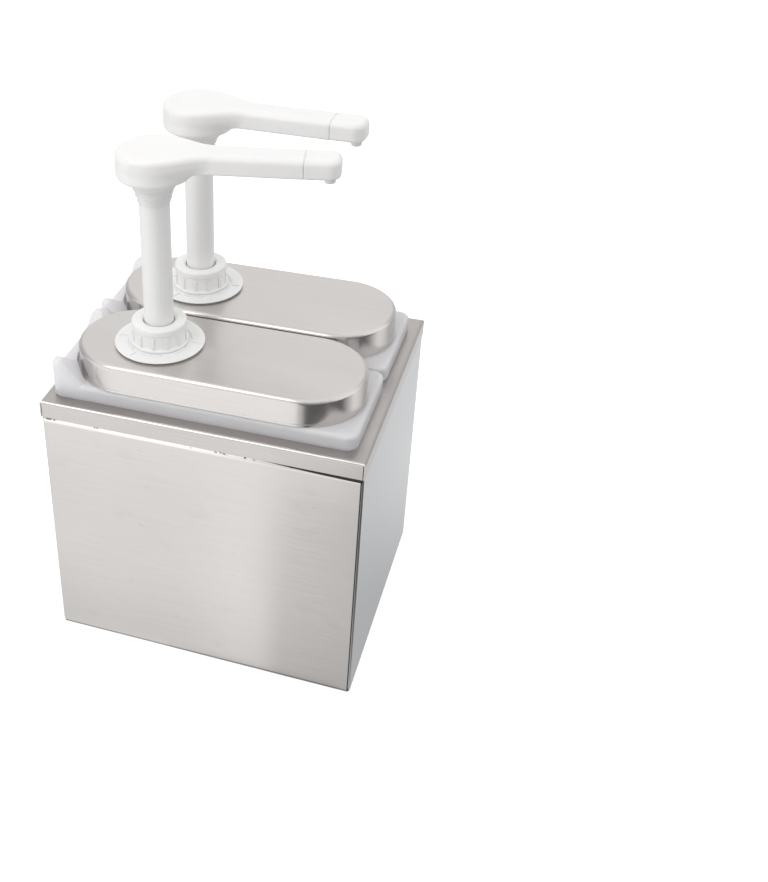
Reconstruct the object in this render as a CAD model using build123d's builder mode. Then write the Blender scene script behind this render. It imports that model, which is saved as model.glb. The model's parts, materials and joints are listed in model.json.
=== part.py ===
from build123d import *
import os

os.makedirs("parts", exist_ok=True)

# Twin condiment pump dispenser. Millimetres, +Z up, the front face looks along -Y,
# the spouts reach towards +X. Origin at the bottom centre of the stand.

# Stand
width = 230.0
depth = 190.0
stand_high = 209.0
sheet = 1.0
skirt_low = 196.2  # underside of the cap frame, and top of the walls
plate_high = 1.0  # base plate thickness
wall_inset = 0.4  # walls stand back from the cap frame's skirt
flange = 12.0
opening_long = 206.0
opening_wide = 164.0
lip_deep = 9.0
face_back = depth / 2 - wall_inset - sheet  # rear of the front panel's sheet

# Stations
pitch = 85.0  # between the two jars, across the stand
pump_x = -44.0
front_yaw = 10.0
rear_yaw = -2.0

# Jar
jar_long = 212.0
jar_wide = 84.0
jar_wall = 2.2
jar_low = 6.0
shoulder = 220.0
neck_top = 236.0
neck_long = 199.0
neck_wide = 77.0
lug_top = 236.6
jar_left = 110.3  # the raised end reaches further out than the other
lug_round = 4.5

# Lid
lid_long = 204.0
lid_wide = 82.0
lid_top = 240.3
lid_sheet = 0.8
lid_bend = 3.3

# Pump, heights in stand coordinates
disc_r = 31.5
disc_top = 244.1
collar_r = 19.05
collar_top = 259.4
stem_r = 10.2
bore_r = 12.0  # cylinder bore
shank_r = 15.5
cylinder_low = 103.0
piston_low = 219.0
piston_top = 237.5
ball_r = 3.6
seat_r = 2.4
ball_rise = (ball_r**2 - seat_r**2) ** 0.5  # ball centre above its seat's edge
lower_seat = 88.0
upper_seat = 222.0

# Head
head_r = 24.1
head_low = 363.5
head_top = 383.7
arm_low = 370.7
arm_wide = 21.6
seam_x = 96.5
spout_x = 118.0
outlet_x = 111.5
outlet_low = 367.0
channel_z = 377.2
boss_low = 349.5


def tube(outer, inner, low, high, mode=Mode.ADD):
    with BuildSketch(Plane.XY.offset(low)) as ring:
        Circle(outer)
        if inner:
            Circle(inner, mode=Mode.SUBTRACT)
    extrude(ring.sketch, amount=high - low, mode=mode)


def turned(points, mode=Mode.ADD):
    # points are (radius, height) pairs round a closed outline
    with BuildSketch(Plane.XZ) as outline:
        with BuildLine():
            Polyline(*points, close=True)
        make_face()
    revolve(outline.sketch, axis=Axis.Z, mode=mode)


def block(long, wide, low, high, at=(0, 0), corner=0.0, mode=Mode.ADD):
    with BuildSketch(Plane.XY.offset(low)) as plan:
        with Locations(at):
            if corner:
                RectangleRounded(long, wide, corner)
            else:
                Rectangle(long, wide)
    extrude(plan.sketch, amount=high - low, mode=mode)


def obround(long, wide, low, high, mode=Mode.ADD):
    with BuildSketch(Plane.XY.offset(low)) as plan:
        SlotOverall(long, wide)
    extrude(plan.sketch, amount=high - low, mode=mode)


def save(part, name, place=Location((0, 0, 0))):
    piece = place * part
    piece.label = name
    export_step(piece, f"parts/{name}.step")


# ---- stand ----

with BuildPart() as base_plate:
    block(width - 2, depth - 2, 0, plate_high, corner=2.0)
    fillet(base_plate.edges().group_by(Axis.Z)[0], 0.3)
save(base_plate.part, "base_plate")

# One bent sheet: left, back and right walls with flanges turned in at the top,
# at the bottom and beside the front panel.
wall_long = width - 2 * wall_inset
wall_wide = depth / 2 - wall_inset + face_back
wall_at = (0, (depth / 2 - wall_inset - face_back) / 2)
with BuildPart() as wall_wrap:
    block(wall_long, wall_wide, plate_high, skirt_low, wall_at)
    fillet(wall_wrap.edges(), 1.5)
    block(
        wall_long - 2 * sheet, wall_wide - 2 * sheet, plate_high + sheet, skirt_low - sheet,
        wall_at, mode=Mode.SUBTRACT,
    )
    # window through top and bottom, open towards the front panel's own flanges
    block(
        wall_long - 2 * flange, wall_wide - flange + 2, plate_high, skirt_low,
        (0, wall_at[1] - flange / 2 - 1), mode=Mode.SUBTRACT,
    )
    # notches at the front corners that clear the front panel's bends
    block(226.6, 8, skirt_low - 4.3, skirt_low, (0, -face_back), mode=Mode.SUBTRACT)
    block(226.6, 8, plate_high, plate_high + 2.3, (0, -face_back), mode=Mode.SUBTRACT)
save(wall_wrap.part, "wall_wrap")

# Front panel: a sheet with a large rolled bend at its top edge.
panel_long = 226.0
face_front = face_back + sheet
with BuildPart() as front_panel:
    block(panel_long, 13, plate_high, skirt_low, (0, -face_front + 6.5))
    front = front_panel.edges().filter_by(Axis.X).group_by(Axis.Y)[0]
    fillet(front.sort_by(Axis.Z)[-1], 4.0)
    front = front_panel.edges().filter_by(Axis.X).group_by(Axis.Y)[0]
    fillet(front.sort_by(Axis.Z)[0], 2.0)
    with BuildSketch(Plane.YZ.offset(-panel_long / 2)):
        with BuildLine():
            Polyline(
                (-face_back, plate_high + sheet), (-face_back, skirt_low - sheet),
                (0, skirt_low - sheet), (0, plate_high + sheet), close=True,
            )
        make_face()
        corners = vertices().group_by(Axis.X)[0].sort_by(Axis.Y)
        fillet(corners[0], 1.0)
        corners = vertices().group_by(Axis.X)[0].sort_by(Axis.Y)
        fillet(corners[-1], 3.0)
    extrude(amount=panel_long, mode=Mode.SUBTRACT)
    # flanges stop short of the walls' own flanges
    for side in (-1, 1):
        block(
            12, 20, plate_high, skirt_low, (side * (panel_long / 2 - 6), 14.2 - face_front),
            mode=Mode.SUBTRACT,
        )
    with BuildSketch(Plane.XZ.offset(face_front)):
        with Locations((0, (plate_high + skirt_low) / 2)):
            RectangleRounded(panel_long, skirt_low - plate_high, 2.5)
    extrude(amount=-20, mode=Mode.INTERSECT)
save(front_panel.part, "front_panel")

# Cap frame: flat ring, skirt outside, lip turned down round the opening, and a
# return under the skirt that rests on the walls' top flanges.
with BuildPart() as top_frame:
    block(width, depth, skirt_low, stand_high)
    fillet(top_frame.faces().sort_by(Axis.Z)[-1].edges(), 2.0)
    block(
        width - 2 * sheet, depth - 2 * sheet, skirt_low + sheet, stand_high - sheet,
        mode=Mode.SUBTRACT,
    )
    block(width - 16, depth - 16, skirt_low, skirt_low + sheet, mode=Mode.SUBTRACT)
    block(
        opening_long + 2 * sheet, opening_wide + 2 * sheet,
        stand_high - lip_deep, stand_high, corner=7.0,
    )
    block(
        opening_long, opening_wide, stand_high - lip_deep, stand_high, corner=6.0,
        mode=Mode.SUBTRACT,
    )
    # open seams where the skirt's flaps meet
    for sx in (-1, 1):
        for sy in (-1, 1):
            block(
                0.5, 1.2, skirt_low, stand_high - 1.6,
                (sx * (width / 2 - 1.25), sy * (depth / 2 - 0.5)), mode=Mode.SUBTRACT,
            )
save(top_frame.part, "top_frame")

# ---- jar, centred on its own mouth ----

# Raised left end of the jar: a lug at each corner that slopes down to the lid, and a
# lower saddle between them.
with BuildPart() as jar_end:
    with BuildSketch(Plane.XZ) as side_view:
        with BuildLine():
            Polyline(
                (-jar_left, 214), (-jar_left, lug_top), (-104.0, lug_top),
                (-85.0, shoulder - 1.5), (-85.0, 214), close=True,
            )
        make_face()
        crest = [v for v in side_view.vertices() if abs(v.X + 104) < 0.1]
        fillet(crest, 7.0)
    extrude(side_view.sketch, amount=jar_wide / 2, both=True)
    block(
        jar_left + 50, jar_wide, 200, 250, ((50 - jar_left) / 2, 0), corner=8.0,
        mode=Mode.INTERSECT,
    )
    upright = jar_end.edges().filter_by(Axis.Z)
    outer = [
        e for e in jar_end.edges()
        if e not in upright and e.center().Z > shoulder + 1
        and (abs(e.center().Y) > 33 or e.center().X < 0.5 - jar_left)
    ]
    fillet(outer, lug_round)
    with BuildSketch(Plane.YZ.offset(-jar_left - 1)) as dip:
        with BuildLine():
            Polyline(
                (-34, lug_top + 5), (-33, lug_top - 0.6), (-20, 225.3), (20, 225.3),
                (33, lug_top - 0.6), (34, lug_top + 5), close=True,
            )
        make_face()
        fillet([v for v in dip.vertices() if v.Y < lug_top - 5], 8.0)
    extrude(dip.sketch, amount=30, mode=Mode.SUBTRACT)
    # room for the lid's rim
    obround(lid_long + 4.4, lid_wide + 4.4, shoulder - 0.01, 250, mode=Mode.SUBTRACT)

with BuildPart() as jar:
    # band that rests on the cap frame, hollow underneath
    band_long, band_at = jar_left + jar_long / 2, (jar_long / 2 - jar_left) / 2
    block(band_long, jar_wide, stand_high, shoulder, (band_at, 0), corner=8.0)
    fillet(jar.faces().sort_by(Axis.Z)[-1].edges(), 3.0)
    block(
        band_long - 4, jar_wide - 4, stand_high, shoulder - jar_wall, (band_at, 0), corner=6.0,
        mode=Mode.SUBTRACT,
    )
    # tapered body
    with BuildSketch(Plane.XY.offset(jar_low)) as foot:
        RectangleRounded(194, 70, 8)
    with BuildSketch(Plane.XY.offset(shoulder - jar_wall)) as brim:
        RectangleRounded(200, 76, 9)
    loft([foot.sketch, brim.sketch])
    fillet(jar.edges().group_by(Axis.Z)[0], 5.0)
    obround(neck_long, neck_wide, shoulder - jar_wall, neck_top)
    add(jar_end.part)
    # inside of body and neck
    with BuildSketch(Plane.XY.offset(jar_low + jar_wall)) as floor:
        RectangleRounded(194 - 2 * jar_wall, 70 - 2 * jar_wall, 6)
    with BuildSketch(Plane.XY.offset(shoulder - jar_wall)) as ceiling:
        RectangleRounded(200 - 2 * jar_wall, 76 - 2 * jar_wall, 7)
    loft([floor.sketch, ceiling.sketch], mode=Mode.SUBTRACT)
    obround(
        neck_long - 2 * jar_wall, neck_wide - 2 * jar_wall, shoulder - jar_wall, neck_top,
        mode=Mode.SUBTRACT,
    )

# ---- lid, centred on the jar's mouth ----

with BuildPart() as lid:
    obround(lid_long, lid_wide, shoulder, lid_top)
    fillet(lid.faces().sort_by(Axis.Z)[-1].edges(), lid_bend)
    offset(amount=-lid_sheet, openings=lid.faces().sort_by(Axis.Z)[0])
    # hemmed lower edge
    with BuildSketch(Plane.XY.offset(shoulder)) as hem:
        SlotOverall(lid_long + 0.8, lid_wide + 0.8)
        SlotOverall(lid_long - 1.6, lid_wide - 1.6, mode=Mode.SUBTRACT)
    extrude(hem.sketch, amount=1.8)
    with BuildSketch(Plane.XY.offset(lid_top - 2)) as pump_hole:
        with Locations((pump_x, 0)):
            Circle(shank_r + 0.4)
    extrude(pump_hole.sketch, amount=4, mode=Mode.SUBTRACT)

# ---- pump, on its own axis ----

with BuildPart() as lid_gasket:
    tube(29.0, shank_r + 0.4, lid_top, lid_top + 0.8)

# Disc on the lid, threaded shank through it, threaded neck under the collar.
with BuildPart() as flange_base:
    tube(disc_r, 0, lid_top + 0.8, disc_top)
    fillet(flange_base.edges().group_by(Axis.Z)[-1], 1.0)
    tube(shank_r, 0, 226, lid_top + 0.8)
    tube(14.8, 0, disc_top, 254)
    with BuildSketch(Plane.XY.offset(disc_top)) as arcs:
        Circle(22.4)
        Circle(21.2, mode=Mode.SUBTRACT)
        with PolarLocations(0, 4, start_angle=20):
            with Locations((22, 0)):
                Rectangle(6, 9, mode=Mode.SUBTRACT)
        with PolarLocations(25.2, 8, start_angle=10):
            Rectangle(4.4, 0.7)
    extrude(arcs.sketch, amount=0.5)
    tube(13.6, 0, 226, 254, mode=Mode.SUBTRACT)

with BuildPart() as collar:
    turned([
        (12.4, 259.0), (12.8, collar_top), (18.5, collar_top), (collar_r, 258.8),
        (collar_r, 256.4), (18.6, 255.9), (18.4, 246.2), (19.7, 245.6), (19.9, 244.8),
        (19.6, 244.4), (14.95, 244.4), (14.95, 256.8), (12.4, 256.8),
    ])
    with BuildSketch(Plane.XY.offset(245.0)) as ribs:
        with PolarLocations(18.3, 12, start_angle=6):
            Rectangle(1.4, 2.8)
    extrude(ribs.sketch, amount=7.6)

with BuildPart() as lock_nut:
    with BuildSketch(Plane.XY.offset(233)) as lobes:
        RegularPolygon(radius=22.5, side_count=8)
        fillet(lobes.vertices(), 3.0)
        Circle(shank_r + 0.05, mode=Mode.SUBTRACT)
    extrude(lobes.sketch, amount=lid_top - lid_sheet - 233)
    chamfer(lock_nut.faces().sort_by(Axis.Z)[0].outer_wire().edges(), 0.8)

# Cylinder: a lip at the top, a stepped socket for the foot valve at the bottom.
with BuildPart() as cylinder:
    turned([
        (14.8, 254.0), (14.8, 255.4), (bore_r, 255.4), (bore_r, cylinder_low), (6.0, cylinder_low),
        (6.0, 100.0), (7.0, 100.0), (7.0, 84.0), (9.0, 84.0), (9.0, 97.0),
        (13.5, 101.5), (13.5, 254.0),
    ])

# Guide that centres the stem and stops the piston at the top of its stroke.
with BuildPart() as guide:
    turned([
        (stem_r + 0.06, 238.0), (bore_r - 0.02, 238.0), (bore_r - 0.02, 255.4), (14.8, 255.4),
        (14.8, 256.8), (stem_r + 0.9, 256.8), (stem_r + 0.06, 255.6),
    ])

with BuildPart() as foot_valve:
    turned([
        (seat_r, 74.0), (4.0, 74.0), (4.0, 85.0), (6.98, 85.0), (6.98, 99.9), (4.4, 99.9),
        (4.4, lower_seat + 1.2), (seat_r, lower_seat),
    ])
    # bar across the cage keeps the ball in
    with BuildSketch(Plane.XY.offset(97.9)) as bar:
        Rectangle(9.2, 1.8)
    extrude(bar.sketch, amount=1.6)

with BuildPart() as dip_tube:
    tube(5.2, 4.02, 16.0, 84.6)
    # notched end lets sauce in when the tube touches the floor
    with BuildSketch(Plane.XZ.offset(-10)):
        with Locations((0, 16.0)):
            Rectangle(5.0, 6.0)
    extrude(amount=20, mode=Mode.SUBTRACT)

with BuildPart() as lower_ball:
    with Locations((0, 0, lower_seat + ball_rise + 0.06)):
        Sphere(ball_r)

spring_low = cylinder_low + 0.8
spring_high = piston_low - 0.8
with BuildPart() as spring:
    with BuildLine():
        coil = Helix(pitch=(spring_high - spring_low) / 14, height=spring_high - spring_low, radius=9.8,
                     center=(0, 0, spring_low))
    with BuildSketch(Plane(coil @ 0, z_dir=coil % 0)):
        Circle(0.7)
    sweep(is_frenet=True)

with BuildPart() as piston:
    turned([
        (seat_r, piston_low), (11.2, piston_low), (11.2, 224.0), (9.6, 224.0), (9.6, 231.0),
        (11.2, 231.0), (11.2, piston_top), (7.06, piston_top), (7.06, 228.7), (4.6, 228.7),
        (4.6, upper_seat + 1.2), (seat_r, upper_seat),
    ])

# Cup seal: two lips that bear on the bore.
with BuildPart() as piston_seal:
    turned([
        (9.62, 224.1), (bore_r - 0.04, 224.1), (bore_r - 0.04, 225.3), (11.3, 226.3),
        (11.3, 228.8), (bore_r - 0.04, 229.8), (bore_r - 0.04, 230.9), (9.62, 230.9),
    ])

with BuildPart() as upper_ball:
    with Locations((0, 0, upper_seat + ball_rise + 0.06)):
        Sphere(ball_r)

# Hollow stem: a spigot turns in the piston, the top is pressed into the head.
with BuildPart() as stem:
    turned([
        (5.0, 229.0), (7.0, 229.0), (7.0, 237.8), (stem_r, 237.8), (stem_r, 369.3),
        (7.5, 369.3), (7.5, 242.0), (5.0, 239.5),
    ])
    with BuildSketch(Plane.XY.offset(231.6)) as bar:
        Rectangle(10.6, 1.8)
    extrude(bar.sketch, amount=1.5)

# ---- head, arm along +X ----

with BuildPart() as head:
    # drum, with the arm running out of its upper part
    block(seam_x, arm_wide, arm_low, head_top, (seam_x / 2, 0))
    tube(head_r, 0, head_low, head_top)
    # concave blends from drum to arm, at the sides and underneath
    uprights = head.edges().filter_by(Axis.Z)
    fillet([e for e in uprights if 15 < e.center().X < 30 and abs(e.center().Y) > 5], 16.0)
    arcs = head.edges().filter_by(GeomType.CIRCLE)
    fillet([e for e in arcs if abs(e.center().Z - arm_low) < 0.01 and e.center().X > 0], 5.0)
    upper = head.faces().sort_by(Axis.Z)[-1].edges()
    fillet([e for e in upper if e.center().X < seam_x - 1], 3.5)
    fillet(head.edges().group_by(Axis.Z)[0], 2.0)
    # boss with the lock-down thread
    turned([
        (0, head_low + 3), (0, boss_low), (11.4, boss_low), (11.9, boss_low + 0.8),
        (12.3, 357.0), (13.3, head_low), (13.3, head_low + 3),
    ])
    with Locations(*[Location((0, 0, z), (8, 0, 0)) for z in (352.8, 357.8)]):
        Torus(12.0, 1.1)
    # channel: socket for the stem, riser, and bore along the arm
    tube(stem_r + 0.01, 0, boss_low, 369.3, mode=Mode.SUBTRACT)
    tube(5.0, 0, 369.3, channel_z, mode=Mode.SUBTRACT)
    with BuildSketch(Plane.YZ) as bore:
        with Locations((0, channel_z)):
            Circle(4.0)
    extrude(bore.sketch, amount=seam_x, mode=Mode.SUBTRACT)

with BuildPart() as nozzle_tip:
    with BuildSketch(Plane.XY.offset(arm_low)) as end_plan:
        with Locations(((seam_x + spout_x) / 2, 0)):
            Rectangle(spout_x - seam_x, arm_wide)
        fillet([v for v in end_plan.vertices() if v.X > spout_x - 1], 6.0)
    extrude(end_plan.sketch, amount=head_top - arm_low)
    upper = nozzle_tip.faces().sort_by(Axis.Z)[-1].edges()
    fillet([e for e in upper if e.center().X > seam_x + 1], 3.5)
    under = nozzle_tip.faces().sort_by(Axis.Z)[0].edges()
    fillet([e for e in under if e.center().X > seam_x + 1], 2.5)
    # spigot pushed into the arm's bore
    with BuildSketch(Plane.YZ.offset(seam_x - 8)) as spigot:
        with Locations((0, channel_z)):
            Circle(3.98)
    extrude(spigot.sketch, amount=12)
    # outlet
    with BuildSketch(Plane.XY.offset(outlet_low)) as outlet:
        with Locations((outlet_x, 0)):
            Circle(3.4)
    extrude(outlet.sketch, amount=8)
    with BuildSketch(Plane.YZ.offset(seam_x - 8)) as inside:
        with Locations((0, channel_z)):
            Circle(2.6)
    extrude(inside.sketch, amount=outlet_x - seam_x + 8, mode=Mode.SUBTRACT)
    with BuildSketch(Plane.XY.offset(outlet_low)) as mouth:
        with Locations((outlet_x, 0)):
            Circle(2.3)
    extrude(mouth.sketch, amount=channel_z - outlet_low, mode=Mode.SUBTRACT)

# ---- two stations ----

for side, centre_y, yaw in (("front", -pitch / 2, front_yaw), ("rear", pitch / 2, rear_yaw)):
    at_jar = Location((0, centre_y, 0))
    at_pump = Location((pump_x, centre_y, 0))
    at_head = Location((pump_x, centre_y, 0), (0, 0, yaw))
    save(jar.part, f"jar_{side}", at_jar)
    save(lid.part, f"lid_{side}", at_jar)
    save(lid_gasket.part, f"lid_gasket_{side}", at_pump)
    save(flange_base.part, f"flange_base_{side}", at_pump)
    save(collar.part, f"collar_{side}", at_pump)
    save(lock_nut.part, f"lock_nut_{side}", at_pump)
    save(cylinder.part, f"cylinder_{side}", at_pump)
    save(guide.part, f"guide_{side}", at_pump)
    save(foot_valve.part, f"foot_valve_{side}", at_pump)
    save(dip_tube.part, f"dip_tube_{side}", at_pump)
    save(lower_ball.part, f"lower_ball_{side}", at_pump)
    save(spring.part, f"spring_{side}", at_pump)
    save(piston.part, f"piston_{side}", at_pump)
    save(piston_seal.part, f"piston_seal_{side}", at_pump)
    save(upper_ball.part, f"upper_ball_{side}", at_pump)
    save(stem.part, f"stem_{side}", at_head)
    save(head.part, f"head_{side}", at_head)
    save(nozzle_tip.part, f"nozzle_tip_{side}", at_head)
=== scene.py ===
import json
import math
import bmesh
import bpy
import numpy as np
from mathutils import Matrix, Vector


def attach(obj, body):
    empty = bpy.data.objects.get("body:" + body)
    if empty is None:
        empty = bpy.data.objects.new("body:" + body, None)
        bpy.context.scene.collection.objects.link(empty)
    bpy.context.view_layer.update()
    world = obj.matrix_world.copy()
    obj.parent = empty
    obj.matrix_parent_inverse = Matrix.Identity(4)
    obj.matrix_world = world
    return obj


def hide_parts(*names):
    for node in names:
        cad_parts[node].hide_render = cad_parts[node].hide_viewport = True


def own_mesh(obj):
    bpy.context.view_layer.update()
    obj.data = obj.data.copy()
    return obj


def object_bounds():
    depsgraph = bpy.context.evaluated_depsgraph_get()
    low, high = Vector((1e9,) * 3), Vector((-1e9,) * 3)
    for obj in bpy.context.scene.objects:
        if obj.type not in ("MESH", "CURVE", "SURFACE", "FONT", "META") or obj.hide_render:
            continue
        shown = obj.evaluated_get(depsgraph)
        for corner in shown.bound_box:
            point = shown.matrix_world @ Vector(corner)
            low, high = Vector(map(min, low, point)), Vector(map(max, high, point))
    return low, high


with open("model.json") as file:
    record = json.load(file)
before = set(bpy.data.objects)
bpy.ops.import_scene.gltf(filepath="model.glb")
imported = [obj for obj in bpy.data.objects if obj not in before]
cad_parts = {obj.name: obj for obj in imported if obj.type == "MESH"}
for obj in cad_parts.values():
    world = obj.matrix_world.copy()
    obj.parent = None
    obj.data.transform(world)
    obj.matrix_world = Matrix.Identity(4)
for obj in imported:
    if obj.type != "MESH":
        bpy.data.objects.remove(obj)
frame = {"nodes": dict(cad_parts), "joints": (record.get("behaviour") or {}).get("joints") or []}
cadLow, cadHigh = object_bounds()
nodes = frame["nodes"]
print("frame loaded:", len(nodes), "nodes")

mm = 0.001
sides = ("front", "rear")
swivel = {j["name"]: Vector(j["pos_m"]) for j in frame["joints"] if j["name"].endswith("_swivel")}
pumpAxis = {s: swivel[f"head_{s}_swivel"] for s in sides}
headYaw = {"front": math.radians(10.0), "rear": math.radians(-2.0)}  # as the heads stand at rest


# shader and geometry maths

class Wire:
    # one output socket; sums, differences, products and quotients on it add Math nodes
    def __init__(self, graph, socket):
        self.graph, self.socket = graph, socket

    def math(self, operation, first, second):
        return self.graph.add("ShaderNodeMath", {"operation": operation}, [first, second])

    def __add__(self, other): return self.math("ADD", self, other)
    def __sub__(self, other): return self.math("SUBTRACT", self, other)
    def __rsub__(self, other): return self.math("SUBTRACT", other, self)
    def __mul__(self, other): return self.math("MULTIPLY", self, other)
    def __truediv__(self, other): return self.math("DIVIDE", self, other)
    def __neg__(self): return self.math("MULTIPLY", self, -1.0)
    __radd__, __rmul__ = __add__, __mul__


class Graph:
    # a node tree that is filled through add()
    def __init__(self, tree):
        self.tree = tree

    def put(self, socket, value):
        if isinstance(value, Wire):
            self.tree.links.new(value.socket, socket)
        elif value is not None:
            socket.default_value = value

    def add(self, kind, settings=None, values=None, out=None):
        node = self.tree.nodes.new(kind)
        for name, value in (settings or {}).items():
            if name == "stops":
                ramp = node.color_ramp
                while len(ramp.elements) < len(value):
                    ramp.elements.new(0.5)
                for element, (place, colour) in zip(ramp.elements, value):
                    element.position, element.color = place, (*colour, 1.0)
            else:
                setattr(node, name, value)
        pairs = enumerate(values) if isinstance(values, (list, tuple)) else (values or {}).items()
        for name, value in pairs:
            self.put(node.inputs[name], value)
        usable = [s for s in node.outputs if s.enabled]
        chosen = node.outputs[out] if out is not None else (usable[0] if usable else None)
        return Wire(self, chosen) if chosen is not None else node


class Finish(Graph):
    # one material on a Principled shader, in Object coordinates
    def __init__(self, name, **constants):
        self.material = bpy.data.materials.new(name)
        self.material.use_nodes = True
        super().__init__(self.material.node_tree)
        self.tree.nodes.clear()
        self.shader = self.tree.nodes.new("ShaderNodeBsdfPrincipled")
        output = self.tree.nodes.new("ShaderNodeOutputMaterial")
        self.tree.links.new(self.shader.outputs[0], output.inputs["Surface"])
        for socket, value in constants.items():
            self.shader.inputs[socket.replace("_", " ")].default_value = value
        self.coords = self.add("ShaderNodeTexCoord", out="Object")
        parts = self.tree.nodes.new("ShaderNodeSeparateXYZ")
        self.tree.links.new(self.coords.socket, parts.inputs[0])
        self.x, self.y, self.z = (Wire(self, s) for s in parts.outputs)
        facing = self.add("ShaderNodeNewGeometry", out="Normal")
        parts = self.tree.nodes.new("ShaderNodeSeparateXYZ")
        self.tree.links.new(facing.socket, parts.inputs[0])
        self.nx, self.ny, self.nz = (Wire(self, s) for s in parts.outputs)

    def noise(self, scale, detail=2.0, roughness=0.5, stretch=(1, 1, 1)):
        where = self.coords
        if stretch != (1, 1, 1):
            where = self.add("ShaderNodeMapping", None, {"Vector": self.coords, "Scale": stretch})
        return self.add("ShaderNodeTexNoise", None, {
            "Vector": where, "Scale": scale, "Detail": detail, "Roughness": roughness}, out="Fac")

    def ease(self, value, low, high, toLow=0.0, toHigh=1.0):
        # smooth step from low to high
        return self.add("ShaderNodeMapRange", {"interpolation_type": "SMOOTHSTEP"},
                        [value, low, high, toLow, toHigh])

    def mix(self, share, a, b):
        node = self.tree.nodes.new("ShaderNodeMix")
        node.data_type = "RGBA"
        for index, value in ((0, share), (6, a), (7, b)):
            plain = isinstance(value, tuple) and len(value) == 3
            self.put(node.inputs[index], (*value, 1.0) if plain else value)
        return Wire(self, node.outputs[2])

    def bump(self, height, strength, distance):
        return self.add("ShaderNodeBump", None,
                        {"Height": height, "Strength": strength, "Distance": distance})

    def feed(self, **sockets):
        for socket, value in sockets.items():
            self.put(self.shader.inputs[socket.replace("_", " ")], value)
        return self.material


# brushed stainless: noise scales, then how far grain and cloud move the shade and the roughness
steelLook = {
    "tone": (0.67, 0.645, 0.625), "grainScale": 900.0, "cloudScale": 9.0, "grainShade": 0.10,
    "cloudShade": 0.05, "shadeReach": 0.12, "darker": 0.80, "lighter": 1.14, "grainRough": 0.16,
    "cloudRough": 0.05, "grainBump": 0.06, "bumpDeep": 0.0004,
}
alongX = (0.02, 1, 1)  # squeezes the grain noise, so that it runs along X


def steelFinish(name, tone, brushAlong=(1, 1, 1), roughness=0.25, grain=1.0):
    k = steelLook
    f = Finish(name, Metallic=1.0, Anisotropic=0.75, Anisotropic_Rotation=0.25)
    fine = f.noise(k["grainScale"], 2.0, 0.6, brushAlong)
    cloud = f.noise(k["cloudScale"], 3.0, 0.55)
    shade = (fine - 0.5) * (k["grainShade"] * grain) + (cloud - 0.5) * k["cloudShade"]
    dark = tuple(c * k["darker"] for c in tone)
    light = tuple(min(1.0, c * k["lighter"]) for c in tone)
    f.colour = f.mix(f.ease(shade, -k["shadeReach"], k["shadeReach"]), dark, light)
    f.rough = (fine - 0.5) * (k["grainRough"] * grain) + roughness + (cloud - 0.5) * k["cloudRough"]
    f.feed(Base_Color=f.colour, Roughness=f.rough, Normal=f.bump(fine, k["grainBump"] * grain, k["bumpDeep"]))
    return f


# marks along the seam under the cap frame, metres: a painted highlight on the panel's top bend, painted
# shadow lines along the panel's top edge and right edge and on the walls under the cap frame, and burrs,
# specks and smears
# smear, speck and burr are the noise levels between which each fades in
seam = {
    "bendFrom": 0.1920, "bendTo": 0.1938, "fadeFrom": -0.010, "fadeTo": 0.065, "fade": 0.92,
    # painted shadow lines: along the panel's top edge under the cap frame, widening to the right, and down
    # its right edge by the side wall
    "edge": 0.1960, "gapShadow": 0.0026, "gapFrom": 0.00, "gapTo": 0.115, "gapSoft": 0.0003,
    "cornerShadowFrom": 0.1121, "cornerShadowTo": 0.1127, "burrFrom": 0.1938, "burrRise": 0.0006,
    "smear": (0.64, 0.74), "speck": (0.74, 0.78), "burr": (0.585, 0.62),
    # tones of the painted highlight, the painted shadow lines, the smears and the burrs, then the painted
    # shadow on the walls
    "paintedHighlight": (0.96, 0.955, 0.935), "dark": (0.05, 0.045, 0.04), "smearTone": (0.30, 0.28, 0.26),
    "burrTone": (0.14, 0.13, 0.12), "wallShadowFrom": 0.1952, "wallShadowTo": 0.1957, "wallShadowTone": (0.10, 0.095, 0.09),
}


def panelFinish():
    # front panel: a painted highlight along its top bend that fades towards the right, a painted shadow line
    # along the seam under the cap frame and beside the side wall, burrs and a few faint smears
    k = seam
    f = steelFinish("steel_front_panel", steelLook["tone"], alongX, 0.24, 0.5)
    # painted highlight: the top bend is coloured near white, fading out towards the right
    bend = f.ease(f.z, k["bendFrom"], k["bendTo"])
    fade = 1 - f.ease(f.x, k["fadeFrom"], k["fadeTo"]) * k["fade"]
    colour = f.mix(bend * fade, f.colour, k["paintedHighlight"])
    smear = f.ease(f.noise(38.0, 2.0, 0.5, (1, 1, 1.6)), *k["smear"])
    speck = f.ease(f.noise(160.0, 1.0, 0.5, (0.8, 1, 1)), *k["speck"])
    colour = f.mix(smear * 0.05 + speck * 0.12, colour, k["smearTone"])
    burr = f.ease(f.noise(150.0, 3.0, 0.65, (1, 0.02, 0.8)), *k["burr"])
    burr = burr * f.ease(f.z, k["burrFrom"], k["burrFrom"] + k["burrRise"])
    colour = f.mix(burr * 0.85, colour, k["burrTone"])
    # painted shadow: a dark line along the top edge under the cap frame, widening towards the right, and a
    # dark line down the right edge beside the side wall
    edge = k["edge"] - f.ease(f.x, k["gapFrom"], k["gapTo"], 0.0, k["gapShadow"])
    gapShadow = f.ease(f.z, edge - k["gapSoft"], edge)
    gapShadow = gapShadow + (1 - gapShadow) * f.ease(f.x, k["cornerShadowFrom"], k["cornerShadowTo"])
    f.feed(Base_Color=f.mix(gapShadow, colour, k["dark"]), Roughness=f.rough + burr * 0.3)
    return f.material


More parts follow.
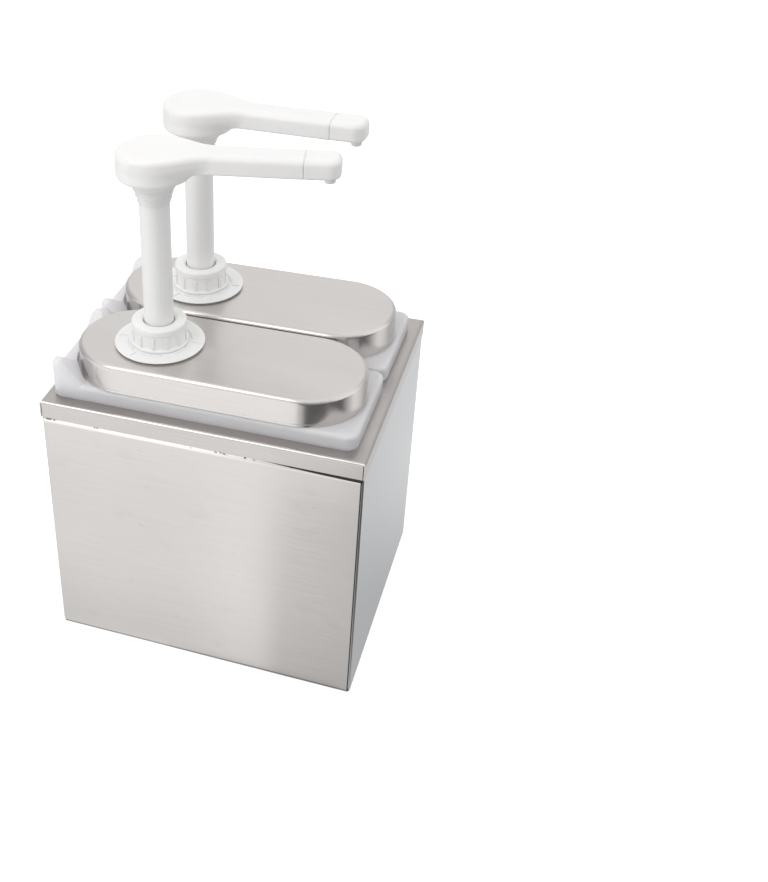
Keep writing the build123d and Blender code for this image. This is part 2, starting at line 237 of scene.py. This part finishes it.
def wallFinish():
    # side and back walls, with a painted shadow line at their joint under the cap frame
    f = steelFinish("steel_walls", (0.64, 0.65, 0.665), (0.02, 0.02, 1), 0.24, 0.5)
    # painted shadow: a dark band at the top of the walls, under the cap frame
    shadowUnderFrame = f.ease(f.z, seam["wallShadowFrom"], seam["wallShadowTo"])
    return f.feed(Base_Color=f.mix(shadowUnderFrame, f.colour, seam["wallShadowTone"]))


def frameFinish():
    # cap frame, whose flat top is painted darker and browner: painted shade for the dim reflection on it
    f = steelFinish("steel_cap_frame", (0.58, 0.56, 0.545), alongX, 0.24, 0.6)
    # painted shade: faces that point up are coloured darker and browner
    paintedDarkTop = f.ease(f.nz, 0.90, 0.99) * 0.85
    return f.feed(Base_Color=f.mix(paintedDarkTop, f.colour, (0.46, 0.43, 0.415)))


def lidFinish():
    # lids, whose drawn side is smoother than the top
    f = steelFinish("steel_lid", (0.68, 0.652, 0.635), alongX, 0.32, 0.6)
    return f.feed(Roughness=f.rough * f.ease(f.nz, 0.15, 0.90, 0.66, 1.0))


panelSteel = panelFinish()
wallSteel = wallFinish()
frameSteel = frameFinish()
plateSteel = steelFinish("steel_base_plate", (0.55, 0.55, 0.55), alongX, 0.3).material
lidSteel = lidFinish()
ballSteel = steelFinish("steel_balls", (0.6, 0.6, 0.6), (1, 1, 1), 0.12, 0.3).material


def plasticFinish(name, tone, roughness=0.34, mottling=0.03, **extra):
    f = Finish(name, **extra)
    cloud = f.noise(35.0, 3.0, 0.6)
    skin = f.noise(1400.0, 2.0, 0.5)
    dark = tuple(c * (1 - mottling) for c in tone)
    light = tuple(min(1.0, c * (1 + mottling)) for c in tone)
    f.feed(Base_Color=f.mix(cloud, dark, light), Roughness=(cloud - 0.5) * 0.10 + roughness,
           Normal=f.bump(skin, 0.05, 0.0003))
    return f


pumpWhite = plasticFinish("pump_white", (0.86, 0.855, 0.845), 0.36, IOR=1.49, Subsurface_Weight=0.15,
                          Subsurface_Radius=(0.006, 0.005, 0.004), Subsurface_Scale=1.0).material
jarMilky = plasticFinish("jar_milky", (0.885, 0.875, 0.905), 0.42, IOR=1.5, Subsurface_Weight=0.6,
                         Subsurface_Radius=(0.010, 0.010, 0.010), Subsurface_Scale=1.0,
                         Transmission_Weight=0.15).material
tubeMilky = plasticFinish("tube_milky", (0.86, 0.87, 0.88), 0.35, IOR=1.5,
                          Transmission_Weight=0.5).material
gasketRubber = plasticFinish("gasket_silicone", (0.72, 0.72, 0.70), 0.6).material

byNode = {
    "base_plate": plateSteel, "wall_wrap": wallSteel, "front_panel": panelSteel,
    "top_frame": frameSteel,
}
for s in sides:
    byNode.update({
        f"jar_{s}": jarMilky, f"lid_{s}": lidSteel, f"lid_gasket_{s}": gasketRubber,
        f"flange_base_{s}": pumpWhite, f"collar_{s}": pumpWhite, f"lock_nut_{s}": pumpWhite,
        f"cylinder_{s}": tubeMilky, f"guide_{s}": pumpWhite, f"foot_valve_{s}": pumpWhite,
        f"dip_tube_{s}": tubeMilky, f"lower_ball_{s}": ballSteel, f"spring_{s}": ballSteel,
        f"piston_{s}": pumpWhite, f"piston_seal_{s}": gasketRubber, f"upper_ball_{s}": ballSteel,
        f"stem_{s}": pumpWhite, f"head_{s}": pumpWhite, f"nozzle_tip_{s}": pumpWhite,
    })
for name, material in byNode.items():
    nodes[name].data.materials.clear()
    nodes[name].data.materials.append(material)
print("finishes made:", len(bpy.data.materials))


# moulded pieces from distance fields

def roundMax(a, b, r):
    # inside both, with the outer edge rounded to r
    return np.minimum(-r, np.maximum(a, b)) + np.hypot(np.maximum(a + r, 0), np.maximum(b + r, 0))


def roundMin(a, b, r):
    # either, with the inner corner filled to r
    return np.maximum(r, np.minimum(a, b)) - np.hypot(np.maximum(r - a, 0), np.maximum(r - b, 0))


def barSection(u, v, halfU, halfV, r):
    # rounded rectangle in the plane
    du, dv = np.abs(u) - (halfU - r), np.abs(v) - (halfV - r)
    return np.hypot(np.maximum(du, 0), np.maximum(dv, 0)) + np.minimum(np.maximum(du, dv), 0) - r


def skinOf(field, low, high, cell, name, evenings=3, pulls=4, step=0.02):
    # quads on the zero level of a distance field, each point pulled exactly onto it
    low, high = np.array(low, float), np.array(high, float)
    counts = np.ceil((high - low) / cell).astype(int) + 1
    axes = [low[i] + cell * np.arange(counts[i]) for i in range(3)]
    inside = field(*np.meshgrid(*axes, indexing="ij")) < 0
    total = np.zeros(counts - 1, int)
    for i in (0, 1):
        for j in (0, 1):
            for k in (0, 1):
                total += inside[i:counts[0] - 1 + i, j:counts[1] - 1 + j, k:counts[2] - 1 + k]
    mixed = (total > 0) & (total < 8)
    index = np.full(mixed.shape, -1)
    index[mixed] = np.arange(mixed.sum())
    points = low + (np.argwhere(mixed) + 0.5) * cell

    def slope(p):
        x, y, z = p.T
        return np.stack([field(x + step, y, z) - field(x - step, y, z),
                         field(x, y + step, z) - field(x, y - step, z),
                         field(x, y, z + step) - field(x, y, z - step)], 1) / (2 * step)

    quads = []
    for axis in range(3):
        a, b = [i for i in range(3) if i != axis]
        here = [slice(1, -1)] * 3
        here[axis] = slice(0, -1)
        there = list(here)
        there[axis] = slice(1, None)
        change = inside[tuple(here)] != inside[tuple(there)]
        at = np.argwhere(change)
        at[:, a] += 1
        at[:, b] += 1
        entering = inside[tuple(at.T)]
        corners = []
        for da, db in ((0, 0), (1, 0), (1, 1), (0, 1)):
            c = at.copy()
            c[:, a] -= da
            c[:, b] -= db
            corners.append(index[tuple(c.T)])
        ring = np.stack(corners, 1)
        outward = entering if axis != 1 else ~entering
        ring[~outward] = ring[~outward][:, ::-1]
        quads.append(ring)
    quads = np.concatenate(quads)
    for _ in range(evenings):
        # even out the net, then pull it back onto the surface
        total, share = np.zeros_like(points), np.zeros(len(points))
        for i in range(4):
            np.add.at(total, quads[:, i], points[quads[:, (i + 1) % 4]] + points[quads[:, i - 1]])
            np.add.at(share, quads[:, i], 2)
        points = 0.5 * points + 0.5 * total / share[:, None]
        for _ in range(pulls):
            g = slope(points)
            d = field(*points.T)
            points = points - np.clip(d, -cell, cell)[:, None] * g / np.maximum((g * g).sum(1), 0.25)[:, None]
    mesh = bpy.data.meshes.new(name)
    mesh.from_pydata((points * mm).tolist(), [], quads.tolist())
    mesh.polygons.foreach_set("use_smooth", np.ones(len(mesh.polygons), bool))
    mesh.update()
    return mesh


# head: drum and arm moulded in one, arm along +X, millimetres round the pump's axis
head = {
    "drumRadius": 24.1, "drumLow": 364.4, "top": 383.7, "topRound": 4.2, "drumRound": 3.4,
    "armHalf": 10.8, "armLow": 370.7, "armUnderRound": 1.8, "sideBlend": 17.0, "underBlend": 9.0,
    "seam": 96.5, "bossLow": 347.3, "cell": 0.5,
    "bossFoot": 11.1, "bossFlare": 7.4, "bossCurve": 2.1, "ridgeThick": 0.72, "ridgePitch": 4.0,
    "ridgeFrom": 350.2, "ridgeTurns": 2.5, "edgeRound": 0.12, "socketRadius": 10.21, "socketTop": 369.3,
    "riserRadius": 5.0, "boreAt": 377.2, "boreRadius": 4.0,
}


def headField(x, y, z):
    h = head
    around = np.hypot(x, y)
    drum = roundMax(around - h["drumRadius"], h["drumLow"] - z, h["drumRound"])
    # the arm is endless upwards here; the flat top is cut afterwards
    arm = barSection(y, z - 400, h["armHalf"], 400 - h["armLow"], h["armUnderRound"])
    arm = np.maximum(arm, -x)
    share = np.clip((z - h["armLow"] + 2.5) / 9.0, 0, 1)
    blend = h["underBlend"] + (h["sideBlend"] - h["underBlend"]) * share * share * (3 - 2 * share)
    body = roundMin(drum, arm, blend)
    body = roundMax(body, z - h["top"], h["topRound"])
    body = roundMax(body, x - h["seam"], h["edgeRound"])
    # boss that narrows down to the stem, with the lock-down ridge wound round it
    up = np.clip((z - h["bossLow"]) / (h["drumLow"] - h["bossLow"]), 0, 1.3)
    wall = h["bossFoot"] + h["bossFlare"] * up ** h["bossCurve"]
    boss = roundMax((around - wall) * 0.95, h["bossLow"] - z, 0.4)
    boss = np.maximum(boss, z - h["drumLow"] - 4)
    turn = np.arctan2(y, x) / (2 * np.pi)
    ridge = np.full(np.shape(around), 1e3)
    for lap in range(-1, 4):
        lead = turn + lap
        rise = z - (h["ridgeFrom"] + h["ridgePitch"] * lead)
        past = np.maximum(np.maximum(-lead, lead - h["ridgeTurns"]), 0)
        taper = 12 * np.minimum(past, 0.3)
        ridge = np.minimum(ridge, np.hypot(around - wall, rise) - h["ridgeThick"] + taper)
    body = roundMin(body, roundMin(boss, ridge, 0.2), 1.2)
    # socket for the stem, riser, and bore along the arm
    body = np.maximum(body, -np.maximum(around - h["socketRadius"], z - h["socketTop"]))
    body = np.maximum(body, -np.maximum(around - h["riserRadius"], z - h["boreAt"]))
    bore = np.hypot(y, z - h["boreAt"]) - h["boreRadius"]
    return np.maximum(body, -np.maximum(bore, -x))


# nozzle end piece behind the seam
nozzle = {"seam": 96.5, "end": 119.3, "endRound": 8.0, "topRound": 4.2, "underRound": 2.2,
          "outletAt": 112.2, "outletRadius": 3.5, "outletLow": 365.7, "cell": 0.5,
          "spigotRadius": 3.98, "innerRadius": 2.6, "dropRadius": 2.3}


def nozzleField(x, y, z):
    h, n = head, nozzle
    # plan with two round corners at the free end
    plan = barSection(x - (n["end"] - 50), y, 50, h["armHalf"], n["endRound"])
    body = roundMax(plan, z - h["top"], n["topRound"])
    body = roundMax(body, h["armLow"] - z, n["underRound"])
    body = roundMax(body, n["seam"] + 0.02 - x, h["edgeRound"])
    spout = np.hypot(x - n["outletAt"], y) - n["outletRadius"] - 0.12 * (z - n["outletLow"])
    spout = roundMax(spout, n["outletLow"] - z, 0.6)
    spout = np.maximum(spout, z - h["armLow"] - 4)
    body = roundMin(body, spout, 1.0)
    across = np.hypot(y, z - h["boreAt"])
    spigot = np.maximum(across - n["spigotRadius"], np.abs(x - n["seam"] + 2) - 6)
    body = np.minimum(body, spigot)
    inner = np.maximum(across - n["innerRadius"], x - n["outletAt"])
    body = np.maximum(body, -inner)
    drop = np.maximum(np.hypot(x - n["outletAt"], y) - n["dropRadius"], z - h["boreAt"])
    return np.maximum(body, -drop)


def fit(mesh, name, side, body, node, material=pumpWhite, yaw=0.0):
    # a copy of the mesh on one station's pump axis, in place of that station's node
    copy = mesh.copy()
    copy.name = f"{name}_{side}"
    axis = pumpAxis[side]
    copy.transform(Matrix.Translation((axis.x, axis.y, 0)) @ Matrix.Rotation(yaw, 4, "Z"))
    copy.update()
    copy.materials.clear()
    copy.materials.append(material)
    piece = bpy.data.objects.new(f"{name}_{side}", copy)
    bpy.context.scene.collection.objects.link(piece)
    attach(piece, f"{body}_{side}")
    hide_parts(f"{node}_{side}")
    return piece


headMesh = skinOf(headField, (-26, -26, 345), (98.5, 26, 386), head["cell"], "head")
nozzleMesh = skinOf(nozzleField, (86, -13, 363.5), (121.5, 13, 386), nozzle["cell"], "nozzle")
for s in sides:
    fit(headMesh, "pump_head", s, "head", "head", yaw=headYaw[s])
    fit(nozzleMesh, "nozzle_end", s, "head", "nozzle_tip", yaw=headYaw[s])
print("heads moulded:", len(headMesh.polygons), "and", len(nozzleMesh.polygons), "faces")


# repeated details grown by Geometry Nodes

class Growth(Graph):
    # a Geometry Nodes group with named number inputs, baked to a plain mesh
    def __init__(self, name, **numbers):
        super().__init__(bpy.data.node_groups.new(name, "GeometryNodeTree"))
        face = self.tree.interface
        face.new_socket("Base", in_out="INPUT", socket_type="NodeSocketGeometry")
        self.keys = {}
        for label, value in numbers.items():
            kind = "NodeSocketInt" if isinstance(value, int) else "NodeSocketFloat"
            socket = face.new_socket(label, in_out="INPUT", socket_type=kind)
            socket.default_value = value
            self.keys[label] = socket.identifier
        face.new_socket("Result", in_out="OUTPUT", socket_type="NodeSocketGeometry")
        entry = self.tree.nodes.new("NodeGroupInput")
        self.base = Wire(self, entry.outputs[0])
        self.given = {label: Wire(self, entry.outputs[label]) for label in numbers}

    def close(self, result, material):
        solid = self.add("GeometryNodeRealizeInstances", None, {"Geometry": result})
        painted = self.add("GeometryNodeSetMaterial", None, {"Geometry": solid, "Material": material})
        self.tree.links.new(painted.socket, self.tree.nodes.new("NodeGroupOutput").inputs[0])
        return self

    def bake(self, name, base=None, **numbers):
        holder = bpy.data.objects.new(name, base or bpy.data.meshes.new(name))
        bpy.context.scene.collection.objects.link(holder)
        grow = holder.modifiers.new("grow", "NODES")
        grow.node_group = self.tree
        for label, value in numbers.items():
            grow[self.keys[label]] = value
        depsgraph = bpy.context.evaluated_depsgraph_get()
        mesh = bpy.data.meshes.new_from_object(holder.evaluated_get(depsgraph))
        holder.modifiers.remove(grow)
        bpy.data.objects.remove(holder)
        mesh.name = name
        return mesh


def ringGrowth():
    # copies of one detail spaced evenly round the Z axis
    g = Growth("around_axis", Count=12, Phase=0.0)
    count, phase = g.given["Count"], g.given["Phase"]
    index = g.add("GeometryNodeInputIndex")
    turn = g.add("ShaderNodeCombineXYZ", None, {"Z": (index / count) * math.tau + phase})
    spots = g.add("GeometryNodePoints", None, {"Count": count})
    copies = g.add("GeometryNodeInstanceOnPoints", None,
                   {"Points": spots, "Instance": g.base, "Rotation": turn})
    return g.close(copies, pumpWhite)


spring = {"Turns": 14.0, "Radius": 0.0098, "Wire": 0.0007, "Length": 0.1144, "Foot": 0.1038}  # metres


def coilGrowth():
    # round wire wound up the Z axis from its own foot
    g = Growth("coil", **spring)
    path = g.add("GeometryNodeCurveSpiral", None, {
        "Resolution": 36, "Rotations": g.given["Turns"], "Start Radius": g.given["Radius"],
        "End Radius": g.given["Radius"], "Height": g.given["Length"]})
    section = g.add("GeometryNodeCurvePrimitiveCircle", None,
                    {"Resolution": 12, "Radius": g.given["Wire"]})
    wound = g.add("GeometryNodeCurveToMesh", None,
                  {"Curve": path, "Profile Curve": section, "Fill Caps": True})
    foot = g.add("ShaderNodeCombineXYZ", None, {"Z": g.given["Foot"]})
    raised = g.add("GeometryNodeTransform", None, {"Geometry": wound, "Translation": foot})
    return g.close(raised, ballSteel)


def softLoop(corners, steps=6):
    # closed outline with every (u, v, radius) corner rounded
    points = []
    for i, (u, v, r) in enumerate(corners):
        here = np.array((u, v), float)
        to = [np.array(corners[(i + k) % len(corners)][:2], float) - here for k in (-1, 1)]
        length = [np.hypot(*t) for t in to]
        before, after = to[0] / length[0], to[1] / length[1]
        half = 0.5 * math.acos(max(-1.0, min(1.0, float(before @ after))))
        if r < 1e-6 or half > 1.55:
            points.append(here)
            continue
        back = min(r / math.tan(half), 0.48 * min(length))
        r = back * math.tan(half)
        centre = here + (before + after) / np.hypot(*(before + after)) * r / math.sin(half)
        first, last = here + before * back - centre, here + after * back - centre
        sweep = math.atan2(first[0] * last[1] - first[1] * last[0], float(first @ last))
        for k in range(steps + 1):
            c, n = math.cos(sweep * k / steps), math.sin(sweep * k / steps)
            points.append(centre + (first[0] * c - first[1] * n, first[0] * n + first[1] * c))
    return points


def lathe(loop, name, segments=144, span=None):
    # a closed outline of (radius, height) in millimetres turned about Z, whole or over a capped span
    bm = bmesh.new()
    whole = span is None
    low, high = (0.0, math.tau) if whole else span
    count = segments if whole else segments + 1
    rings = []
    for i in range(count):
        a = low + (high - low) * i / segments
        rings.append([bm.verts.new((u * mm * math.cos(a), u * mm * math.sin(a), v * mm)) for u, v in loop])
    for i in range(segments):
        one, two = rings[i], rings[(i + 1) % count]
        for k in range(len(loop)):
            m = (k + 1) % len(loop)
            bm.faces.new((one[k], two[k], two[m], one[m]))
    if not whole:
        bm.faces.new(rings[0])
        bm.faces.new(list(reversed(rings[-1])))
    bmesh.ops.recalc_face_normals(bm, faces=bm.faces)
    mesh = bpy.data.meshes.new(name)
    bm.to_mesh(mesh)
    bm.free()
    mesh.polygons.foreach_set("use_smooth", np.ones(len(mesh.polygons), bool))
    return mesh


def softBlock(size, at, bevel, name, taper=1.0):
    # small bevelled block; taper narrows its outer end along +X
    bm = bmesh.new()
    bmesh.ops.create_cube(bm, size=1.0)
    for v in bm.verts:
        share = taper if v.co.x > 0 else 1.0
        grown = (v.co.x * size[0], v.co.y * size[1] * share, v.co.z * size[2])
        v.co = Vector((at[0] + grown[0], at[1] + grown[1], at[2] + grown[2])) * mm
    bmesh.ops.bevel(bm, geom=list(bm.edges), offset=bevel * mm, segments=3, profile=0.5, affect="EDGES")
    bmesh.ops.recalc_face_normals(bm, faces=bm.faces)
    mesh = bpy.data.meshes.new(name)
    bm.to_mesh(mesh)
    bm.free()
    mesh.polygons.foreach_set("use_smooth", np.ones(len(mesh.polygons), bool))
    return mesh


def merged(meshes, name, material):
    bm = bmesh.new()
    for mesh in meshes:
        bm.from_mesh(mesh)
    for f in bm.faces:
        f.material_index = 0
        f.smooth = True
    for e in bm.edges:
        e.smooth = len(e.link_faces) != 2 or e.calc_face_angle(0.0) < math.radians(40)
    whole = bpy.data.meshes.new(name)
    bm.to_mesh(whole)
    bm.free()
    whole.materials.append(material)
    return whole


ring = ringGrowth()
coil = coilGrowth()

# collar nut, millimetres: hole, outside, foot bead and ribs
collar = {
    "hole": 10.95, "outside": 19.05, "low": 242.7, "top": 259.4, "rimLow": 255.2, "inside": 14.95,
    "insideTop": 256.8, "ribs": 12, "ribPhase": 7.0, "ribWide": 2.7, "ribDeep": 0.6, "ribHigh": 8.4,
    "ribLow": 244.4,
}


def collarNut():
    c = collar
    outline = softLoop([
        (c["hole"], c["top"] - 0.9, 0.5), (c["hole"] + 1.6, c["top"], 0.6), (c["outside"], c["top"], 1.5),
        (c["outside"], c["rimLow"], 0.4), (c["outside"] - 0.5, c["rimLow"] - 0.7, 0.3),
        (c["outside"] - 0.6, c["low"] + 2.2, 0.6), (c["outside"] + 1.1, c["low"] + 1.4, 0.5),
        (c["outside"] + 1.2, c["low"], 0.3), (c["inside"], c["low"], 0.2),
        (c["inside"], c["insideTop"], 0.2), (c["hole"], c["insideTop"], 0.2)])
    ribAt = c["outside"] - 0.6 + (c["ribDeep"] - 2.0) / 2 + 0.2
    rib = softBlock((c["ribDeep"] + 2.0, c["ribWide"], c["ribHigh"]),
                    (ribAt, 0, c["ribLow"] + c["ribHigh"] / 2), 0.35, "rib", 0.86)
    ribs = ring.bake("collar_ribs", rib, Count=c["ribs"], Phase=math.radians(c["ribPhase"]))
    return merged([lathe(outline, "collar_nut"), ribs], "collar", pumpWhite)


# disc on the lid, millimetres: arcs and marks on a thin flange, a threaded neck above it, a shank below
disc = {
    "radius": 31.5, "low": 240.95, "top": 242.5, "bore": 13.6, "shank": 15.5, "shankLow": 226.0,
    "neck": 14.8, "neckTop": 254.0, "marks": 6, "markPhase": 6.0, "markFrom": 23.2, "markTo": 29.2,
    "markWide": 0.8, "raised": 0.55, "arcs": 6, "arcPhase": 36.0, "arcSpan": 38.0, "arcRadius": 22.3,
    "arcWide": 1.0,
}


def lidDisc():
    d = disc
    outline = softLoop([
        (d["bore"], d["shankLow"], 0.2), (d["shank"], d["shankLow"], 0.3), (d["shank"], d["low"], 0.0),
        (d["radius"] - 1.6, d["low"], 0.2), (d["radius"] - 0.1, d["low"] + 0.7, 0.4),
        (d["radius"] - 0.3, d["top"] + 0.05, 0.5), (d["radius"] - 1.5, d["top"], 0.6),
        (d["neck"], d["top"], 0.2), (d["neck"], d["neckTop"], 0.3), (d["bore"], d["neckTop"], 0.2)])
    mark = softBlock((d["markTo"] - d["markFrom"], d["markWide"], 1.2),
                     ((d["markTo"] + d["markFrom"]) / 2, 0, d["top"] + d["raised"] - 0.6), 0.22, "mark")
    near, far = d["arcRadius"] - d["arcWide"] / 2, d["arcRadius"] + d["arcWide"] / 2
    low, high = d["top"] - 0.4, d["top"] + d["raised"]
    section = softLoop([(near, low, 0), (far, low, 0), (far, high, 0.25), (near, high, 0.25)], 3)
    half = d["arcSpan"] / 2
    arc = lathe(section, "arc", 18, (math.radians(-half), math.radians(half)))
    return merged([
        lathe(outline, "disc_base"),
        ring.bake("disc_marks", mark, Count=d["marks"], Phase=math.radians(d["markPhase"])),
        ring.bake("disc_arcs", arc, Count=d["arcs"], Phase=math.radians(d["arcPhase"]))], "disc", pumpWhite)


collarMesh = collarNut()
discMesh = lidDisc()
springMesh = coil.bake("spring", **spring)
springMesh.polygons.foreach_set("use_smooth", np.ones(len(springMesh.polygons), bool))
for s in sides:
    fit(collarMesh, "collar_nut", s, "lid", "collar")
    fit(discMesh, "lid_disc", s, "lid", "flange_base")
    wound = fit(springMesh, "return_spring", s, "lid", "spring", ballSteel)
    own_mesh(wound)
print("collars, discs and springs grown:", len(collarMesh.polygons), len(discMesh.polygons),
      len(springMesh.polygons), "faces")


# studio
# brightness by direction, degrees from the front towards +X: the floor as the steel mirrors it
surround = [(-180, 0.98), (-150, 0.98), (-125, 0.60), (-95, 0.50), (-78, 0.80), (-62, 1.06), (-17.2, 1.14),
            (-15.6, 0.80), (-11, 0.68), (2, 0.34), (15, 0.13), (76, 0.11), (92, 0.66), (102, 1.00),
            (116, 0.86), (134, 0.50), (160, 0.80), (180, 0.96)]
# the room above the floor
room = [(-180, 0.98), (-150, 0.98), (-125, 0.64), (-95, 0.56), (-78, 0.80), (-62, 1.00), (-17.2, 1.02),
        (-11, 0.74), (2, 0.58), (20, 0.46), (56, 0.60), (76, 1.15), (116, 1.20), (134, 0.66), (160, 0.62),
        (180, 0.85)]
# the floor in front as the front panel mirrors it, with the edge of the bright side at -16.5 degrees
frontBand = [(-60, 0.90), (-29, 1.04), (-21, 1.06), (-17.2, 1.16), (-15.4, 0.84), (-12, 0.76), (0, 0.64),
             (40, 0.55)]
brightest = 1.2  # the ramps are stored as shares of this
studio = {
    "floorSize": 12.0, "floorTone": 0.92, "floorGlow": 0.45, "floorDrop": 0.0004,
    # painted shadow: the floor's mirrored glow darkens near the stand's foot
    "nearReach": 0.10, "nearShare": 0.84,            # the floor darkens towards the stand's foot
    "reach": 1.22, "reachFrom": 0.330, "reachTo": 0.362,  # bright stretch further out in front
    "reachEndFrom": 0.030, "reachEndTo": 0.095,      # which ends towards the right
    "rightFrom": 0.105, "rightTo": 0.16, "rightFade": 0.80,
    "stripIn": (0.100, 0.113), "stripOut": (0.17, 0.24),  # strip of floor beside the right wall
    "stripGlow": (-0.01, 0.23, 0.56, 0.88),          # from and to along Y, and its brightness there
    "frontFade": (0.080, 0.105),
    "frontFrom": (0.2347, 0.530),  # the point the front band's directions are taken from
    "overhead": 1.07, "overheadFrom": 0.50, "overheadTo": 0.72,
    "key": 5.0, "keyAt": (-0.55, -0.95, 1.5), "keySize": (0.9, 0.5),
}


def brightness(g, x, y, stops):
    # brightness by compass direction, through a colour ramp
    turn = g.add("ShaderNodeMath", {"operation": "ARCTAN2"}, [x, -y]) / math.tau + 0.5
    ramp = g.add("ShaderNodeValToRGB", {"stops": [
        ((d + 180) / 360, (v / brightest,) * 3) for d, v in stops]}, [turn])
    return ramp * brightest


def makeFloor():
    bm = bmesh.new()
    bmesh.ops.create_grid(bm, x_segments=24, y_segments=24, size=studio["floorSize"] / 2)
    mesh = bpy.data.meshes.new("floor")
    bm.to_mesh(mesh)
    bm.free()
    floor = bpy.data.objects.new("floor", mesh)
    bpy.context.scene.collection.objects.link(floor)
    tone = studio["floorTone"]
    f = Finish("floor_paper", Roughness=0.9, Specular_IOR_Level=0.1, Base_Color=(tone, tone, tone, 1.0),
               Emission_Color=(1.0, 1.0, 1.0, 1.0), Emission_Strength=studio["floorGlow"])
    # what the steel mirrors: a bright side on the left, a darker one in front on the right
    k = studio
    fromX, fromY = k["frontFrom"]
    allRound = brightness(f, f.x, f.y, surround)
    ahead = brightness(f, f.x - fromX, f.y - fromY, frontBand)
    farX = f.add("ShaderNodeMath", {"operation": "ABSOLUTE"}, [f.x]) - cadHigh[0]
    farY = f.add("ShaderNodeMath", {"operation": "ABSOLUTE"}, [f.y]) - cadHigh[1]
    far = f.add("ShaderNodeMath", {"operation": "MAXIMUM"}, [farX, farY])
    # painted shadow near the stand's foot
    ahead = ahead * f.ease(far, 0.0, k["nearReach"], k["nearShare"], 1.0)
    reach = f.ease(-f.y, k["reachFrom"], k["reachTo"]) * (1 - f.ease(f.x, k["reachEndFrom"], k["reachEndTo"]))
    ahead = ahead * (1 - reach) + reach * k["reach"]
    ahead = ahead * (1 - f.ease(f.x, k["rightFrom"], k["rightTo"]) * k["rightFade"])
    strip = f.ease(f.x, *k["stripIn"]) * (1 - f.ease(f.x, *k["stripOut"]))
    beside = allRound * (1 - strip) + strip * f.ease(f.y, *k["stripGlow"])
    inFront = f.ease(-f.y, *k["frontFade"])
    glare = ahead * inFront + beside * (1 - inFront)
    glow = f.add("ShaderNodeEmission", None, {"Color": (1, 1, 1, 1), "Strength": glare})
    seen = f.add("ShaderNodeLightPath", out="Is Camera Ray")
    both = f.add("ShaderNodeMixShader", None, [seen, glow, Wire(f, f.shader.outputs[0])])
    output = next(n for n in f.tree.nodes if n.type == "OUTPUT_MATERIAL")
    f.put(output.inputs["Surface"], both)
    mesh.materials.append(f.material)
    floor.location.z = -studio["floorDrop"]


def softBox(name, power, size, at, aim):
    light = bpy.data.lights.new(name, "AREA")
    light.shape, light.size, light.size_y = "RECTANGLE", size[0], size[1]
    light.energy = power
    holder = bpy.data.objects.new(name, light)
    holder.location = at
    holder.rotation_mode = "QUATERNION"
    holder.rotation_quaternion = (Vector(at) - Vector(aim)).to_track_quat("Z", "Y")
    bpy.context.scene.collection.objects.link(holder)


def makeWorld():
    world = bpy.data.worlds.new("studio")
    bpy.context.scene.world = world
    world.use_nodes = True
    g = Graph(world.node_tree)
    g.tree.nodes.clear()
    where = g.add("ShaderNodeTexCoord", out="Generated")
    parts = g.tree.nodes.new("ShaderNodeSeparateXYZ")
    g.tree.links.new(where.socket, parts.inputs[0])
    x, y, z = (Wire(g, s) for s in parts.outputs)
    up = g.add("ShaderNodeMapRange", {"interpolation_type": "SMOOTHSTEP"},
               [z, studio["overheadFrom"], studio["overheadTo"], 0.0, 1.0])
    level = brightness(g, x, y, room) * (1 - up) + up * studio["overhead"]
    shade = g.add("ShaderNodeBackground", None, {"Color": (1, 1, 1, 1), "Strength": level})
    out = g.tree.nodes.new("ShaderNodeOutputWorld")
    g.tree.links.new(shade.socket, out.inputs["Surface"])


makeFloor()
makeWorld()
softBox("key", studio["key"], studio["keySize"], studio["keyAt"], (0, 0, 0.2))
print("studio lit")


# camera

view = {"azimuth": 22.226, "elevation": 33.794, "roll": -2.323, "place": (0.23469, -0.71926, 0.69082),
        "lens": 50.5702, "shift": (0.2484, -0.0596)}


def makeCamera():
    az, el, roll = (math.radians(view[k]) for k in ("azimuth", "elevation", "roll"))
    back = Vector((math.sin(az) * math.cos(el), -math.cos(az) * math.cos(el), math.sin(el)))
    right = (-back).cross(Vector((0, 0, 1))).normalized()
    up = right.cross(-back)
    r = right * math.cos(roll) + up * math.sin(roll)
    u = up * math.cos(roll) - right * math.sin(roll)
    data = bpy.data.cameras.new("camera")
    data.lens, data.shift_x, data.shift_y = view["lens"], *view["shift"]
    data.clip_start, data.clip_end = 0.02, 60
    camera = bpy.data.objects.new("camera", data)
    camera.matrix_world = Matrix((
        (r.x, u.x, back.x, view["place"][0]), (r.y, u.y, back.y, view["place"][1]),
        (r.z, u.z, back.z, view["place"][2]), (0, 0, 0, 1)))
    bpy.context.scene.collection.objects.link(camera)
    bpy.context.scene.camera = camera


makeCamera()
bpy.context.scene.view_settings.view_transform = "Standard"
print("camera placed")
